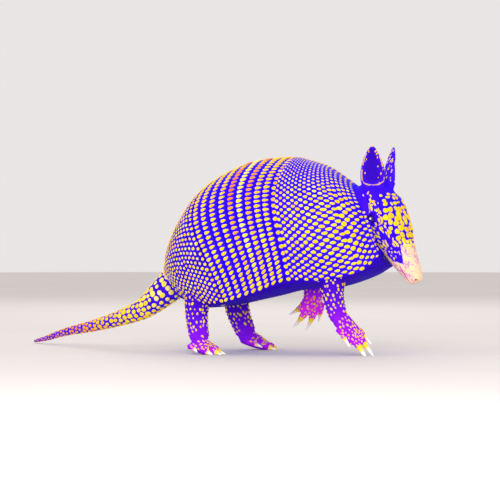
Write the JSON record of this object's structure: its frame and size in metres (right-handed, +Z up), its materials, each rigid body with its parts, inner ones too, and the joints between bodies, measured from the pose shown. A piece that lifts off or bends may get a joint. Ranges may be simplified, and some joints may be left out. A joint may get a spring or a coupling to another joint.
{
  "type": "nine-banded armadillo model",
  "caption": "Still, life-size armadillo that walks with its head turned and one forefoot lifted, its tail resting on the floor.",
  "frame": {"origin": "on the floor, under the middle of the model's bounding box", "axes": "+X towards the animal's front, +Y towards its left side, +Z up from the floor"},
  "size_m": [0.5094, 0.2322, 0.2248],
  "materials": {
    "skin": "dull hide, blue-violet above and magenta towards the feet, with small golden scutes",
    "horn": "satin golden-yellow scutes on a violet-blue ground",
    "tail_horn": "satin scutes that turn from pale yellow to orange, then violet at the tip",
    "muzzle": "soft pale skin with fine violet lines",
    "ear_skin": "thin leathery skin",
    "claw": "polished cream horn, golden at the base",
    "eye": "wet, glossy and nearly black"
  },
  "bodies": {
    "root": {"trunk": "skin", "neck": "skin", "head": "muzzle", "lower_jaw": "muzzle", "head_shield": "horn", "scapular_shield": "horn", "pelvic_shield": "horn", "band_1": "horn", "band_2": "horn", "band_3": "horn", "band_4": "horn", "band_5": "horn", "band_6": "horn", "band_7": "horn", "band_8": "horn", "band_9": "horn", "tail_1": "tail_horn", "tail_2": "tail_horn", "tail_3": "tail_horn", "tail_4": "tail_horn", "tail_5": "tail_horn", "eye_left": "eye", "ear_left": "ear_skin", "foreleg_left": "skin", "forefoot_left": "skin", "forefoot_left_claw_1": "claw", "forefoot_left_claw_2": "claw", "forefoot_left_claw_3": "claw", "forefoot_left_claw_4": "claw", "hindleg_left": "skin", "hindfoot_left": "skin", "hindfoot_left_claw_1": "claw", "hindfoot_left_claw_2": "claw", "hindfoot_left_claw_3": "claw", "hindfoot_left_claw_4": "claw", "hindfoot_left_claw_5": "claw", "eye_right": "eye", "ear_right": "ear_skin", "foreleg_right": "skin", "forefoot_right": "skin", "forefoot_right_claw_1": "claw", "forefoot_right_claw_2": "claw", "forefoot_right_claw_3": "claw", "forefoot_right_claw_4": "claw", "hindleg_right": "skin", "hindfoot_right": "skin", "hindfoot_right_claw_1": "claw", "hindfoot_right_claw_2": "claw", "hindfoot_right_claw_3": "claw", "hindfoot_right_claw_4": "claw", "hindfoot_right_claw_5": "claw"}
  },
  "joints": []
}
